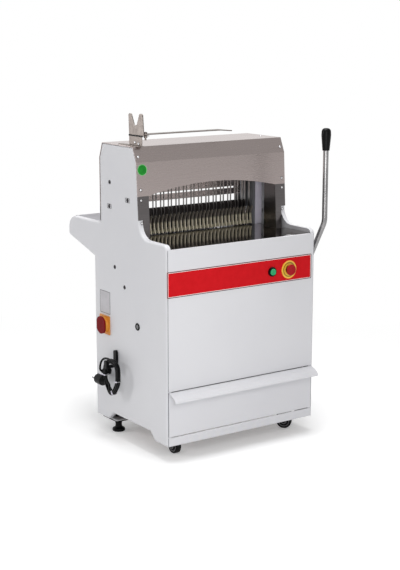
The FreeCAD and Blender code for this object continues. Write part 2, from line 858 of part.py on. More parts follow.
def build_crankshaft():
    """Two halves that end in short pins beside the eyes of the connecting rods."""
    stretches = [
        (30, 232, crank_radius, 0),
        (232, 244, web_radius, 0),
        (18, 30, web_radius, 0),
        (10, 18, pin_radius, -crank_throw),
        (244, 250, pin_radius, crank_throw),
    ]
    right = union([rod(ALONG_X, radius, high - low, low, crank_depth, crank_height + lift)
                   for low, high, radius, lift in stretches])
    keep(group([right, mirrored(right)]), "crankshaft")


def crank_bearings():
    blocks = []
    for across in (190, -210):
        block = slab((across, across + 20), (296, 336), (222, 362))
        plate = slab((across, across + 20), (245, 385), (216, 222))
        bore = rod(ALONG_X, crank_radius + running_clearance, 30, across - 5, crank_depth, crank_height)
        blocks.append(minus(union([block, plate]), [bore]))
    return blocks


def pulley(start, depth, height, radius):
    """A flat belt pulley with a rim at each side."""
    rim = radius + 4
    return union([
        rod(ALONG_X, rim, 2, start, depth, height),
        rod(ALONG_X, radius, 16, start + 2, depth, height),
        rod(ALONG_X, rim, 2, start + 18, depth, height),
    ])


def belt_outline(radius_a, centre_a, radius_b, centre_b):
    """The face inside a band that runs round two circles."""
    line = centre_b - centre_a
    spread = math.acos((radius_a - radius_b) / line.Length)
    heading = math.atan2(line.z, line.y)

    def on_circle(centre, radius, angle):
        return centre + Vector(0, math.cos(angle), math.sin(angle)) * radius

    upper = heading + spread
    lower = heading - spread
    far = on_circle(centre_b, radius_b, heading)
    near = on_circle(centre_a, radius_a, heading + math.pi)
    corners = [
        on_circle(centre_a, radius_a, upper), on_circle(centre_b, radius_b, upper),
        on_circle(centre_b, radius_b, lower), on_circle(centre_a, radius_a, lower),
    ]
    return Part.Face(Part.Wire([
        Part.LineSegment(corners[0], corners[1]).toShape(),
        Part.Arc(corners[1], far, corners[2]).toShape(),
        Part.LineSegment(corners[2], corners[3]).toShape(),
        Part.Arc(corners[3], near, corners[0]).toShape(),
    ]))


def build_drive():
    build_crankshaft()
    pulley_start = size("pulley_start", -172)
    crank_bore = rod(ALONG_X, crank_radius, 40, pulley_start - 10, crank_depth, crank_height)
    wheel = pulley(pulley_start, crank_depth, crank_height, crank_pulley_radius)
    keep(minus(wheel, [crank_bore]), "crank_pulley")
    shaft = rod(ALONG_X, 7, 118, pulley_start - 2, motor_depth, motor_height)
    keep(union([shaft, pulley(pulley_start, motor_depth, motor_height, motor_pulley_radius)]), "motor_shaft")
    centres = [
        Vector(0, motor_depth.value, motor_height.value),
        Vector(0, crank_depth.value, crank_height.value),
    ]
    radii = [motor_pulley_radius.value, crank_pulley_radius.value]
    outer = belt_outline(radii[0] + 7, centres[0], radii[1] + 7, centres[1]).extrude(Vector(12, 0, 0))
    inner = belt_outline(radii[0] + 0.4, centres[0], radii[1] + 0.4, centres[1]).extrude(Vector(12, 0, 0))
    belt = doc.addObject("Part::Feature", "belt")
    belt.Shape = outer.cut(inner)
    keep(place(belt, pulley_start + 4, 0, 0), "drive_belt")
    body = rod(ALONG_X, motor_radius, 200, -95, motor_depth, motor_height)
    nose = rod(ALONG_X, 50, 8, -103, motor_depth, motor_height)
    cowl = rod(ALONG_X, motor_radius - 3, 28, 105, motor_depth, motor_height)
    feet = [slab((-70, 70), (motor_depth + near, motor_depth + near + 40), (172, 192)) for near in (-60, 20)]
    box = slab((-40, 30), (motor_depth - 35, motor_depth + 35), (motor_height + 50, motor_height + 92))
    bore = rod(ALONG_X, 7 + running_clearance, 60, -110, motor_depth, motor_height)
    keep(minus(union([body, nose, cowl, box] + feet), [bore]), "motor")


# ---------------------------------------------------------------- crumb drawer

def build_drawer():
    width = size("drawer_half_width", 303)
    corners = [
        (1.5, drawer_low), (1.5, drawer_top), (-3, drawer_top), (-21, 179.5), (-34, 171.5), (-41, 164),
        (-38.6, 157.5), (-37.2, 158.1), (-39.1, 163.5), (-33, 170.3), (-20.3, 178.1), (-2.8, 184.5),
        (0, 184.5), (0, drawer_low),
    ]
    keep(side_profile(corners, -width, width * 2), "drawer_front")
    outer = slab((-285, 285), (1.5, 375), (36, 150))
    inner = slab((-283.5, 283.5), (3, 373.5), (37.5, 160))
    keep(minus(outer, [inner]), "crumb_tray")
    shelf = slab((270, 289), (90, 360), (33.7, 35.2))
    upright = slab((287.5, 289), (90, 360), (35.2, 60))
    runner = union([shelf, upright])
    keep(group([runner, mirrored(runner)]), "drawer_runners")


# ---------------------------------------------------------------- controls

def contact_block(across, rear):
    """The switch body behind the front panel."""
    return slab((across - 15, across + 15), (23.2, rear), (control_height - 20, control_height + 20))


def build_controls():
    depth = size("strip_thickness", 0.8)
    left = size("strip_left", -308)
    right = size("strip_right", 295)
    corners = [
        (left, strip_low, 4), (right, strip_low, 4), (right, strip_top, 4), (left, strip_top, 4),
    ]
    plate = extruded(outline(corners, PLANE_XZ), Vector(0, -1, 0), depth)
    holes = [rod(ALONG_Y, 11.2, 10, across, -5, control_height) for across in (button_across, estop_across)]
    keep(minus(plate, holes), "control_strip")

    bezel = rod(ALONG_Y, 16.5, 4.2, button_across, -5, control_height)
    barrel = rod(ALONG_Y, 10.8, 24, button_across, -0.8, control_height)
    block = contact_block(button_across, 50)
    bore = rod(ALONG_Y, 9.3, 16, button_across, -8, control_height)
    keep(minus(union([bezel, barrel, block]), [bore]), "start_switch")
    button = [(0, 0), (9, 0), (9, 12), (11.4, 12), (11.4, 14.5, 1.5), (0, 14.5)]
    keep(turned(button, "button", button_across, 4, control_height, TO_FRONT), "start_button")

    disc = rod(ALONG_Y, 31.5, 2, estop_across, -2.8, control_height)
    keep(minus(disc, [rod(ALONG_Y, 11.2, 10, estop_across, -5, control_height)]), "estop_disc")
    collar = rod(ALONG_Y, 15, 2.2, estop_across, -5, control_height)
    barrel = rod(ALONG_Y, 10.8, 26, estop_across, -2.8, control_height)
    block = contact_block(estop_across, 60)
    bore = rod(ALONG_Y, 6.3, 24, estop_across, -6, control_height)
    keep(minus(union([collar, barrel, block]), [bore]), "estop_switch")
    head = [(0, 0), (6, 0), (6, 14), (14, 14), (19.5, 16.5, 1.5), (18.5, 21.5, 3), (0, 23)]
    keep(turned(head, "mushroom", estop_across, 4, control_height, TO_FRONT), "estop_head")


def build_main_switch():
    """A square plate on the left side, the nut that clamps it to the sheet, and a knob that turns."""
    face = half + size("switch_plate_thickness", 4)
    reach = size("switch_half_width", 33)
    plate = slab((-face, -half), (switch_depth - reach, switch_depth + reach),
                 (switch_height - reach, switch_height + reach))
    neck = rod(ALONG_X, 10.8, 5.5, -half, switch_depth, switch_height)
    nut = rod(ALONG_X, 15, 4, -half + sheet_metal + 0.2, switch_depth, switch_height)
    collar = rod(ALONG_X, knob_radius - 1, 10.4, -face - 10.4, switch_depth, switch_height)
    bore = rod(ALONG_X, 6.3, 30, -face - 11, switch_depth, switch_height)
    keep(minus(union([plate, collar, neck, nut]), [bore]), "main_switch_box")
    disc = rod(ALONG_X, knob_radius, 5.2, -face - 16, switch_depth, switch_height)
    edge = knob_radius - 4
    flats = [slab((-face - 17, -face - 10.8), (switch_depth + side, switch_depth + side + 20),
                  (switch_height - knob_radius - 1, switch_height + knob_radius + 1))
             for side in (-edge - 20, edge)]
    stem = rod(ALONG_X, 6, 22, -face - 13, switch_depth, switch_height)
    keep(union([minus(disc, flats), stem]), "main_switch_knob")


def build_fasteners():
    """Pan heads of the screws and rivets on the outside of the casing."""
    heads = []
    for depth, height in ((352, 851), (356, 768), (236, 801), (325, 560), (262, 499)):
        for start in (half, -half - 2.4):
            heads.append(rod(ALONG_X, 6.5, 2.4, start, depth, height))
    heads.append(rod(ALONG_X, 13, 3, -half - 3, 180, 377))
    for height in (841.5, 806.8, 730.7):
        skin = tower_line(height) - gap - sheet_metal
        heads += [rod(ALONG_Y, 3.5, 2, side * 296, skin - 2.25, height) for side in (-1, 1)]
    keep(group(heads), "fasteners")


# ---------------------------------------------------------------- hood fittings

def build_hood_fittings():
    top = hood_top + sheet_metal + gap
    across = size("fork_across", -276)
    foot = slab((across - 18, across), (186, 318), (top, top + 2))
    web = slab((across, across + 2), (197, 277), (top, 1018))
    shelf = slab((across, across + 26), (191, 277), (1016, 1018))
    fork = [
        (185, 1018), (277, 1018), (280, 1088, 7), (262, 1088, 6), (243, 1050, 7), (229, 1050, 7),
        (211, 1090, 5), (192, 1090, 7),
    ]
    keep(side_profile(fork, across, 3), "fork_plate")
    bolt_depth = size("arm_bolt_depth", 203)
    bolt_across = size("arm_bolt_across", -257.5)
    shank = rod(ALONG_Z, 3, 28, bolt_across, bolt_depth, 1002)
    nuts = [rod(ALONG_Z, 6, length, bolt_across, bolt_depth, low)
            for low, length in ((1010, 6), (1018, 2.5), (1023.8, 5))]
    keep(union([foot, web, shelf, shank] + nuts), "fork_foot")
    build_bag_arm(bolt_across, bolt_depth)


def build_bag_arm(bolt_across, bolt_depth):
    """A flat bar that turns about the bolt, with a narrow tail at its free end."""
    low = size("arm_low", 1020.6)
    sketch = doc.addObject("Sketcher::SketchObject", "arm_outline")
    place(sketch, bolt_across, bolt_depth, low)
    draw(sketch, [
        (-14.5, -14.5, 14), (296, -14.5, 2), (313, -52, 1.5), (320, -49, 1.5), (306, -8, 3), (306, 14.5, 5),
        (-14.5, 14.5, 14),
    ])
    bar = extruded(sketch, Vector(0, 0, 1), 3)
    bore = rod(ALONG_Z, 3 + running_clearance, 10, bolt_across, bolt_depth, low - 3)
    keep(minus(bar, [bore]), "bag_arm")


# ---------------------------------------------------------------- mains lead

def build_gland_and_hook():
    """A strain relief for the lead, and a hook whose plate is fixed to the left side panel."""
    dome = [
        (0, 0), (15, 0), (15, 7), (13, 8), (13, 19), (9.5, 22), (7, 31, 2), (cord_radius, 31),
        (cord_radius, 12), (0, 12),
    ]
    keep(turned(dome, "gland_body", -half, gland_depth, gland_height, TO_LEFT), "cable_gland")
    plate = side_profile([
        (311, 205), (329, 205), (329, 266, 8), (311, 266, 8),
    ], -half - 9, 9)
    hook_reach = size("hook_reach", 359.9)
    arm = slab((-hook_reach, -half), (312, 320), (207, 217.5))
    lip = side_profile([
        (308, 207), (324, 207), (324, 236, 5), (308, 236, 5),
    ], -hook_reach, 6)
    keep(union([plate, arm, lip]), "cord_hook")


def rounded_route(points):
    """Straight runs joined by tangent arcs, each arc as large as its two runs allow."""
    edges = []
    start = points[0]
    for before, corner, after in zip(points, points[1:], points[2:]):
        run = min(before.distanceToPoint(corner), corner.distanceToPoint(after))
        turn = math.pi - (before - corner).getAngle(after - corner)
        radius = 0.45 * run / math.tan(turn / 2)
        first, middle, last = corner_points(corner, before, after, radius)
        edges.append(Part.LineSegment(start, first).toShape())
        edges.append(Part.Arc(first, middle, last).toShape())
        start = last
    edges.append(Part.LineSegment(start, points[-1]).toShape())
    return Part.Wire(edges)


def build_lead():
    """The short free stretch from the gland up and over to the coil."""
    points = [
        Vector(-331, 372, 182),
        Vector(-348, 372, 182),
        Vector(-348, 372, 205),
        Vector(-348, 360.8, 225.1),
        Vector(-347, 341.5, 237.6),
        Vector(-346, 318.6, 240),
    ]
    path = rounded_route(points)
    circle = Part.Wire([Part.Circle(points[0], points[1] - points[0], cord_radius.value).toShape()])
    tube = path.makePipeShell([circle], True, False)
    lead = doc.addObject("Part::Feature", "lead")
    lead.Shape = tube
    keep(place(lead, 0, 0, 0), "cord_lead")


def coil_outline():
    return [
        (249, 243, 38), (343, 243, 42), (343, 178, 60), (292, 96, 24), (249, 160, 60),
    ]


def build_coil():
    """The outer shape of the hanging coil: four turns, two wide and two deep."""
    bundle = cord_radius * 4 + 0.2
    sketch = outline(coil_outline(), PLANE_YZ, across=-352)
    doc.recompute()
    face = Part.Face(sketch.Shape.Wires[0])
    inner = face.makeOffset2D(-bundle.value, 2, False, False, False)
    ring = face.cut(inner).extrude(Vector(bundle.value, 0, 0))
    coil = doc.addObject("Part::Feature", "coil")
    coil.Shape = ring
    keep(coil, "cord_coil")


def build_plug():
    """A round mains plug that lies against the coil with its pins to the rear."""
    body = [
        (0, 0), (5, 0), (6.5, 20), (12, 26), (18, 32, 3), (18, 70, 2), (15, 70), (15, 76, 2), (0, 76),
    ]
    barrel = turned(body, "plug_body", -344, 324, 152, ALONG_Y)
    pins = [rod(ALONG_Y, 2.4, 19, across, 400, 152) for across in (-353.5, -334.5)]
    keep(union([barrel] + pins), "mains_plug")


build_side_panels()
build_front_panels()
build_rear_panel()
build_hood()
build_posts()
build_table_and_tray()
build_frame()
build_feet()
build_casters()
build_blades()
build_connecting_rods()
build_guide_rails()
build_fingers()
build_pusher_plate()
build_side_plates()
keep(group(build_lever() + crank_bearings()), "shaft_bearings")
build_drive()
build_drawer()
build_controls()
build_main_switch()
build_fasteners()
build_hood_fittings()
build_gland_and_hook()
build_lead()
build_coil()
build_plug()

doc.recompute()
os.makedirs("parts", exist_ok=True)
for thing in doc.Objects:
    if "Invalid" in thing.State or "Error" in thing.State:
        raise ValueError(f"{thing.Name} did not build")
for thing in subparts:
    if thing.Shape.isNull() or not thing.Shape.isValid():
        raise ValueError(f"{thing.Label} has no valid shape")
for thing in subparts:
    thing.Shape.exportStep(f"parts/{thing.Label}.step")
print(len(subparts), "sub-parts written")
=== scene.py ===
"""Looks of a floor-standing bread slicer with a hand lever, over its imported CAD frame.

Lengths in the helpers are in millimetres of the cabinet's own frame: across from the middle of the
width (+ to the right), depth from the front plane (+ to the rear) and height from the cabinet's low
edge. at() turns them into the row frame in metres.
"""
import json
import math

import bmesh
import bpy
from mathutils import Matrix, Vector


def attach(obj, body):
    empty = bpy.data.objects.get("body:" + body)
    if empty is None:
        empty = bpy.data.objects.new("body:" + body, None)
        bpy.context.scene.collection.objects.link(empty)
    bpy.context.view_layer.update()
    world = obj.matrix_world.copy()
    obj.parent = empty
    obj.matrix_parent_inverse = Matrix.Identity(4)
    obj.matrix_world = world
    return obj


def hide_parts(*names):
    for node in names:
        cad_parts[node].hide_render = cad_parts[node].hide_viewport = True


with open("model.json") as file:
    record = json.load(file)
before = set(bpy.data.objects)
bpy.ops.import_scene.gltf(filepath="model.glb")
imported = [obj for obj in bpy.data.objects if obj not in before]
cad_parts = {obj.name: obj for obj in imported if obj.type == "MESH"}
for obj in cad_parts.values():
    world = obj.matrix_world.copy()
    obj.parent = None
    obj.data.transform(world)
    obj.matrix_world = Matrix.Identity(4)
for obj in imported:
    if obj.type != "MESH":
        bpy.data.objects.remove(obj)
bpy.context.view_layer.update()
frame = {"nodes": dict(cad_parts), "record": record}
NODES = frame["nodes"]

MM = 0.001
FLOOR_HEIGHT = 54
FRONT_DEPTH = 303


def at(across, depth, height):
    """A point of the row frame, in metres."""
    return Vector((across, depth - FRONT_DEPTH, height + FLOOR_HEIGHT)) * MM


def srgb(red, green, blue):
    """A linear colour from 8-bit display values."""
    def linear(value):
        share = value / 255
        return share / 12.92 if share <= 0.04045 else ((share + 0.055) / 1.055) ** 2.4
    return (linear(red), linear(green), linear(blue), 1.0)


# ---------------------------------------------------------------- materials

class Finish:
    """A Principled material with a few helpers for its procedural detail."""

    def __init__(self, name, roughness, metallic=0.0, **sockets):
        self.material = bpy.data.materials.new(name)
        self.material.use_nodes = True
        self.tree = self.material.node_tree
        self.shader = self.tree.nodes["Principled BSDF"]
        self.shader.inputs["Roughness"].default_value = roughness
        self.shader.inputs["Metallic"].default_value = metallic
        for socket, value in sockets.items():
            self.shader.inputs[socket.replace("_", " ")].default_value = value
        coordinates = self.tree.nodes.new("ShaderNodeTexCoord")
        self.place = coordinates.outputs["Object"]

    def link(self, source, target):
        self.tree.links.new(source, target)

    def stretched(self, scale):
        """Object coordinates scaled by axis, for a grain that runs one way."""
        node = self.tree.nodes.new("ShaderNodeMapping")
        node.inputs["Scale"].default_value = scale
        self.link(self.place, node.inputs["Vector"])
        return node.outputs["Vector"]

    def noise(self, scale, detail=3, place=None):
        node = self.tree.nodes.new("ShaderNodeTexNoise")
        node.inputs["Scale"].default_value = scale
        node.inputs["Detail"].default_value = detail
        self.link(place or self.place, node.inputs["Vector"])
        return node.outputs["Fac"]

    def ranged(self, source, low, high, start=0.3, end=0.7):
        node = self.tree.nodes.new("ShaderNodeMapRange")
        node.inputs["From Min"].default_value = start
        node.inputs["From Max"].default_value = end
        node.inputs["To Min"].default_value = low
        node.inputs["To Max"].default_value = high
        self.link(source, node.inputs["Value"])
        return node.outputs["Result"]

    def mixed(self, factor, first, second):
        node = self.tree.nodes.new("ShaderNodeMix")
        node.data_type = "RGBA"
        for socket, value in ((node.inputs[6], first), (node.inputs[7], second)):
            if isinstance(value, tuple):
                socket.default_value = value
            else:
                self.link(value, socket)
        self.link(factor, node.inputs[0])
        return node.outputs[2]

    def colour(self, source):
        self.link(source, self.shader.inputs["Base Color"])

    def rough(self, source):
        self.link(source, self.shader.inputs["Roughness"])

    def relief(self, source, strength, distance):
        node = self.tree.nodes.new("ShaderNodeBump")
        node.inputs["Strength"].default_value = strength
        node.inputs["Distance"].default_value = distance
        self.link(source, node.inputs["Height"])
        self.link(node.outputs["Normal"], self.shader.inputs["Normal"])


DULL = {"Specular_IOR_Level": 0.12}
# The grain of sheet that is brushed across the machine.
ACROSS_GRAIN = (5, 900, 900)


def painted(name, tone, shade, roughness, peel=0.25):
    """Powder coat: an even colour with a faint cloudiness and an orange-peel skin."""
    finish = Finish(name, roughness, Specular_IOR_Level=0.35)
    clouds = finish.ranged(finish.noise(2.3, 4), 0, 1)
    finish.colour(finish.mixed(clouds, tone, shade))
    finish.rough(finish.ranged(finish.noise(35, 4), roughness - 0.05, roughness + 0.07))
    finish.relief(finish.noise(650, 2), peel, 0.00012)
    return finish.material


def brushed(name, tone, shade, roughness, grain):
    """Sheet or bar metal. grain scales its noise along X, Y and Z.

    It runs along an axis whose scale is far lower than the others', and three equal scales give no direction.
    """
    finish = Finish(name, roughness, 1.0)
    lines = finish.noise(1, 5, finish.stretched(grain))
    finish.colour(finish.mixed(finish.ranged(lines, 0, 1), tone, shade))
    finish.rough(finish.ranged(lines, roughness - 0.04, roughness + 0.06))
    finish.relief(lines, 0.12, 0.00008)
    return finish.material


def polished(name, tone, shade, roughness):
    """Bright turned or rolled metal with light handling marks."""
    finish = Finish(name, roughness, 1.0)
    finish.colour(finish.mixed(finish.ranged(finish.noise(18, 4), 0, 1), tone, shade))
    finish.rough(finish.ranged(finish.noise(60, 5), roughness - 0.03, roughness + 0.08))
    finish.relief(finish.noise(420, 3), 0.06, 0.00005)
    return finish.material


def moulded(name, tone, shade, roughness, grain=900, depth=0.00008, **sockets):
    """Moulded plastic or rubber with a fine sandblasted skin."""
    metallic = sockets.pop("Metallic", 0.0)
    finish = Finish(name, roughness, metallic, **sockets)
    finish.colour(finish.mixed(finish.ranged(finish.noise(40, 4), 0, 1), tone, shade))
    finish.rough(finish.ranged(finish.noise(120, 4), roughness - 0.05, roughness + 0.08))
    finish.relief(finish.noise(grain, 2), 0.3, depth)
    return finish.material


WHITE = painted("white powder coat", srgb(214, 214, 217), srgb(210, 210, 214), 0.4)
FRAME_PAINT = painted("frame powder coat", srgb(120, 121, 123), srgb(104, 105, 108), 0.45)
MOTOR_PAINT = painted("motor enamel", srgb(70, 84, 96), srgb(60, 73, 85), 0.4)
LEVER_STEEL = brushed("lever steel", srgb(150, 149, 149), srgb(128, 127, 128), 0.22, (90, 90, 12))
STAINLESS = brushed("brushed stainless sheet", srgb(190, 178, 175), srgb(180, 168, 165), 0.27, (9, 500, 500))
POST_STEEL = brushed("post steel", srgb(116, 112, 112), srgb(104, 100, 100), 0.3, ACROSS_GRAIN)
FITTING_STEEL = brushed("fitting steel", srgb(134, 126, 121), srgb(120, 112, 108), 0.42, (60, 60, 60))
# Painted shade: the pusher plate's steel is coloured far darker than the stainless because it stands in the
# dark of the hood.
SHADED_PLATE_STEEL = brushed("pusher plate steel in painted shade", srgb(62, 58, 58), srgb(46, 43, 43), 0.4, ACROSS_GRAIN)
TABLE_STEEL = brushed("mirror stainless sheet", srgb(168, 163, 160), srgb(150, 146, 144), 0.08, (6, 700, 700))
BLADE_STEEL = brushed("blade steel", srgb(150, 148, 146), srgb(112, 110, 109), 0.3, (900, 900, 30))
MACHINED = polished("machined steel", srgb(170, 170, 172), srgb(142, 142, 145), 0.22)
ZINC = polished("zinc plate", srgb(178, 180, 182), srgb(150, 152, 156), 0.35)
GALVANISED = moulded("galvanised sheet", srgb(206, 206, 208), srgb(186, 186, 189), 0.45, 300, Metallic=0.2)
# Painted shade: the grey of the strips that stand in for the shadow in the gaps at the front joints.
SEAM_SHADE = moulded("seam", srgb(118, 118, 124), srgb(104, 104, 110), 0.6, 700, 0.00002, **DULL)
DARK_STEEL = polished("blackened steel", srgb(78, 76, 78), srgb(52, 50, 52), 0.35)
RIVET_METAL = polished("rivet aluminium", srgb(236, 236, 238), srgb(214, 214, 216), 0.35)
CAST = moulded("cast metal", srgb(92, 92, 94), srgb(74, 74, 77), 0.5, 300, 0.0002, Metallic=0.6)
BLACK_PLASTIC = moulded("black plastic", srgb(11, 11, 12), srgb(7, 7, 8), 0.36, **DULL)
FOOT_PLASTIC = moulded("foot plastic", srgb(10, 10, 11), srgb(6, 6, 7), 0.45, **DULL)
BELT_RUBBER = moulded("belt rubber", srgb(28, 28, 29), srgb(20, 20, 21), 0.6, **DULL)
TYRE = moulded("wheel tyre", srgb(18, 18, 19), srgb(11, 11, 12), 0.42, **DULL)
WHEEL_RING = moulded("grey wheel ring", srgb(112, 112, 114), srgb(92, 92, 95), 0.45)
RED_STRIP = moulded(
    "red printed strip", srgb(202, 22, 30), srgb(194, 18, 26), 0.45, 700, 0.00003, Specular_IOR_Level=0.08
)
# Used for the dark outline of the control strip's border and for painted shade in the rings round screw and
# rivet heads.
BLACK_PRINT_AND_SHADE = moulded("black print and painted shade", srgb(42, 26, 28), srgb(34, 20, 22), 0.45, 700, 0.00002, **DULL)
STRIP_WHITE = moulded("white print", srgb(240, 226, 226), srgb(232, 218, 218), 0.45, 700, 0.00002)
YELLOW = moulded("yellow plastic", srgb(240, 190, 70), srgb(232, 178, 58), 0.35)
OLIVE = moulded("olive print", srgb(150, 128, 20), srgb(136, 114, 16), 0.45)
SWITCH_YELLOW = moulded("amber plastic", srgb(214, 142, 48), srgb(204, 130, 42), 0.35)
RED_PLASTIC = moulded("red plastic", srgb(168, 24, 34), srgb(150, 18, 28), 0.3, **DULL)
KNOB_RED = moulded("dark red plastic", srgb(122, 8, 16), srgb(106, 4, 12), 0.4, Specular_IOR_Level=0.06)
GREEN = moulded("green plastic", srgb(30, 172, 108), srgb(22, 154, 94), 0.28)
STICKER = moulded("green label", srgb(36, 140, 48), srgb(22, 112, 36), 0.5, 700, 0.00002, **DULL)
STICKER_RIM = moulded("pale green label", srgb(120, 196, 124), srgb(104, 184, 110), 0.5, 700, 0.00002)
FOIL = moulded("silver foil", srgb(190, 188, 192), srgb(180, 178, 182), 0.4, 500, 0.00002)
NYLON = moulded("white nylon", srgb(222, 218, 230), srgb(214, 210, 224), 0.45)
TIE_NYLON = moulded("tie nylon", srgb(150, 150, 152), srgb(132, 132, 135), 0.4)
CORD_RUBBER = moulded("cord rubber", srgb(12, 12, 13), srgb(7, 7, 8), 0.34, 600, 0.0001, **DULL)

# The height up to which the fingers are painted pale as if lit, with painted shade above it, and the width of
# the change, in metres.
PAINTED_LIGHT_TOP = 0.755
PAINTED_LIGHT_EDGE = 0.006


def finger_finish():
    """Ground steel with painted light: pale along the foot of each finger, in painted shade above."""
    finish = Finish("finger steel", 0.3, 0.35)
    parts = finish.tree.nodes.new("ShaderNodeSeparateXYZ")
    finish.link(finish.place, parts.inputs[0])
    painted_light_share = finish.ranged(parts.outputs["Z"], 0, 1, PAINTED_LIGHT_TOP, PAINTED_LIGHT_TOP + PAINTED_LIGHT_EDGE)
    streaks = finish.ranged(finish.noise(1, 4, finish.stretched((400, 400, 60))), 0, 1)
    # pale is the painted light on the fingers' lower part, plain the painted shade of the same steel above
    # it.
    pale = finish.mixed(streaks, srgb(244, 236, 212), srgb(232, 222, 196))
    plain = finish.mixed(streaks, srgb(150, 142, 132), srgb(126, 119, 111))
    finish.colour(finish.mixed(painted_light_share, pale, plain))
    finish.rough(finish.ranged(streaks, 0.26, 0.38))
    finish.relief(streaks, 0.1, 0.00005)
    return finish.material


FINGER_STEEL = finger_finish()

BY_SLOT = {
    "white_paint": WHITE,
    "frame_paint": FRAME_PAINT,
    "motor_paint": MOTOR_PAINT,
    "lever_paint": LEVER_STEEL,
    "stainless": STAINLESS,
    "blade_steel": BLADE_STEEL,
    "machined_steel": MACHINED,
    "zinc": ZINC,
    "cast_metal": CAST,
    "black_plastic": BLACK_PLASTIC,
    "white_plastic": NYLON,
    "foot_plastic": FOOT_PLASTIC,
    "belt_rubber": BELT_RUBBER,
    "wheel_tyre": TYRE,
    "red_strip": RED_STRIP,
    "yellow_plastic": YELLOW,
    "red_plastic": RED_PLASTIC,
    "green_plastic": GREEN,
    "cord_rubber": CORD_RUBBER,
}
BY_NODE = {
    "front_table": TABLE_STEEL,
    "tower_posts": POST_STEEL,
    "fork_plate": FITTING_STEEL,
    "fork_foot": FITTING_STEEL,
    "bag_arm": FITTING_STEEL,
    "pusher_plate": SHADED_PLATE_STEEL,
    "mounting_plates": GALVANISED,
    "rear_tray": WHITE,
    "pusher_fingers": FINGER_STEEL,
    "main_switch_box": SWITCH_YELLOW,
    "main_switch_knob": KNOB_RED,
}


def dress_nodes():
    """Every CAD node gets the finish of its material slot, or one of its own."""
    slots = {}
    for part in frame["record"]["subparts"]:
        slots[part["node"]] = part["material_slot"]
    for name, item in NODES.items():
        finish = BY_NODE.get(name) or BY_SLOT[slots[name]]
        item.data.materials.clear()
        item.data.materials.append(finish)


dress_nodes()


# ---------------------------------------------------------------- mains lead

CORD_DIAMETER = 7.6
LEAD_ROUTE = [
    (-331, 372, 182),
    (-348, 372, 182),
    (-348, 372, 205),
    (-348, 360.8, 225.1),
    (-347, 341.5, 237.6),
    (-346, 318.6, 240),
]
# The outermost turn of the coil, from the middle of its top to the front, down and back up.
COIL_TURN = [
    (294, 239), (278, 239), (262, 230), (253, 214), (253, 192), (253, 170), (261, 151), (272.5, 135.5),
    (283.5, 122), (294, 117.5), (305, 117.5), (315, 123), (331, 144), (343, 170), (344.5, 187.5), (342, 211),
    (330, 229), (311, 239),
]
# Each strand of the bundle: how far inside the outermost turn it lies, and its place across.
SLOTS = [(0, -348.2), (0, -340.4), (7.8, -340.4), (7.8, -348.2)]
# The point of the turn from which a strand leaves for the next place in the bundle.
CHANGES = [16, 14, 12]
COIL_END = [(-347.5, 309, 143), (-345.5, 315, 150.5), (-344, 324, 152)]


def coil_point(index, inset, across):
    """A point of the coil's turn, moved towards the inside of the bundle by inset."""
    count = len(COIL_TURN)
    before, here, after = (Vector(COIL_TURN[(index + step) % count]) for step in (-1, 0, 1))
    inward = [Vector((-run.y, run.x)).normalized() for run in (here - before, after - here)]
    middle = (inward[0] + inward[1]).normalized()
    moved = here + middle * inset / middle.dot(inward[0])
    return (across, moved.x, moved.y)


def cord_points():
    """The whole cord: the free stretch, four turns of the coil and the end that enters the plug."""
    points = list(LEAD_ROUTE)
    count = len(COIL_TURN)
    for turn, (inset, across) in enumerate(SLOTS):
        last = turn == len(SLOTS) - 1
        for index in range(12 if last else count):
            share = 0
            if not last and index >= CHANGES[turn]:
                share = min(1, (index - CHANGES[turn] + 1) / 2)
            next_inset, next_across = SLOTS[min(turn + 1, len(SLOTS) - 1)]
            points.append(coil_point(
                index,
                inset + (next_inset - inset) * share,
                across + (next_across - across) * share,
            ))
    return points + COIL_END


def build_cord():
    curve = bpy.data.curves.new("mains_cord", "CURVE")
    curve.dimensions = "3D"
    curve.bevel_depth = CORD_DIAMETER / 2 * MM
    curve.bevel_resolution = 5
    curve.resolution_u = 6
    curve.use_fill_caps = True
    spline = curve.splines.new("NURBS")
    points = [at(*point) for point in cord_points()]
    spline.points.add(len(points) - 1)
    for target, point in zip(spline.points, points):
        target.co = (*point, 1)
    spline.order_u = 3
    spline.use_endpoint_u = True
    curve.materials.append(CORD_RUBBER)
    cord = bpy.data.objects.new("mains_cord", curve)
    bpy.context.scene.collection.objects.link(cord)
    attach(cord, "cabinet")
    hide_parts("cord_lead", "cord_coil")


# ---------------------------------------------------------------- mesh helpers

LEFT, RIGHT, FRONT, UP = Vector((-1, 0, 0)), Vector((1, 0, 0)), Vector((0, -1, 0)), Vector((0, 0, 1))
SHARP_ANGLE = math.radians(32)


def add_piece(form, name, finishes, body, replaces=()):
    """Finish a mesh and let it ride on a body."""
    bmesh.ops.recalc_face_normals(form, faces=form.faces)
    mesh = bpy.data.meshes.new(name)
    form.to_mesh(mesh)
    form.free()
    for finish in finishes:
        mesh.materials.append(finish)
    for face in mesh.polygons:
        face.use_smooth = True
    mesh.set_sharp_from_angle(angle=SHARP_ANGLE)
    item = bpy.data.objects.new(name, mesh)
    bpy.context.scene.collection.objects.link(item)
    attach(item, body)
    if replaces:
        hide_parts(*replaces)
    return item


def hexagon(across_flats):
    """The radius of a hexagon at an angle."""
    def radius(angle):
        return across_flats / 2 / math.cos((angle % (math.tau / 6)) - math.tau / 12)
    return radius


def squared(half_size, power=5):
    """The radius of a square with rounded corners at an angle."""
    def radius(angle):
        return half_size / (abs(math.cos(angle)) ** power + abs(math.sin(angle)) ** power) ** (1 / power)
    return radius


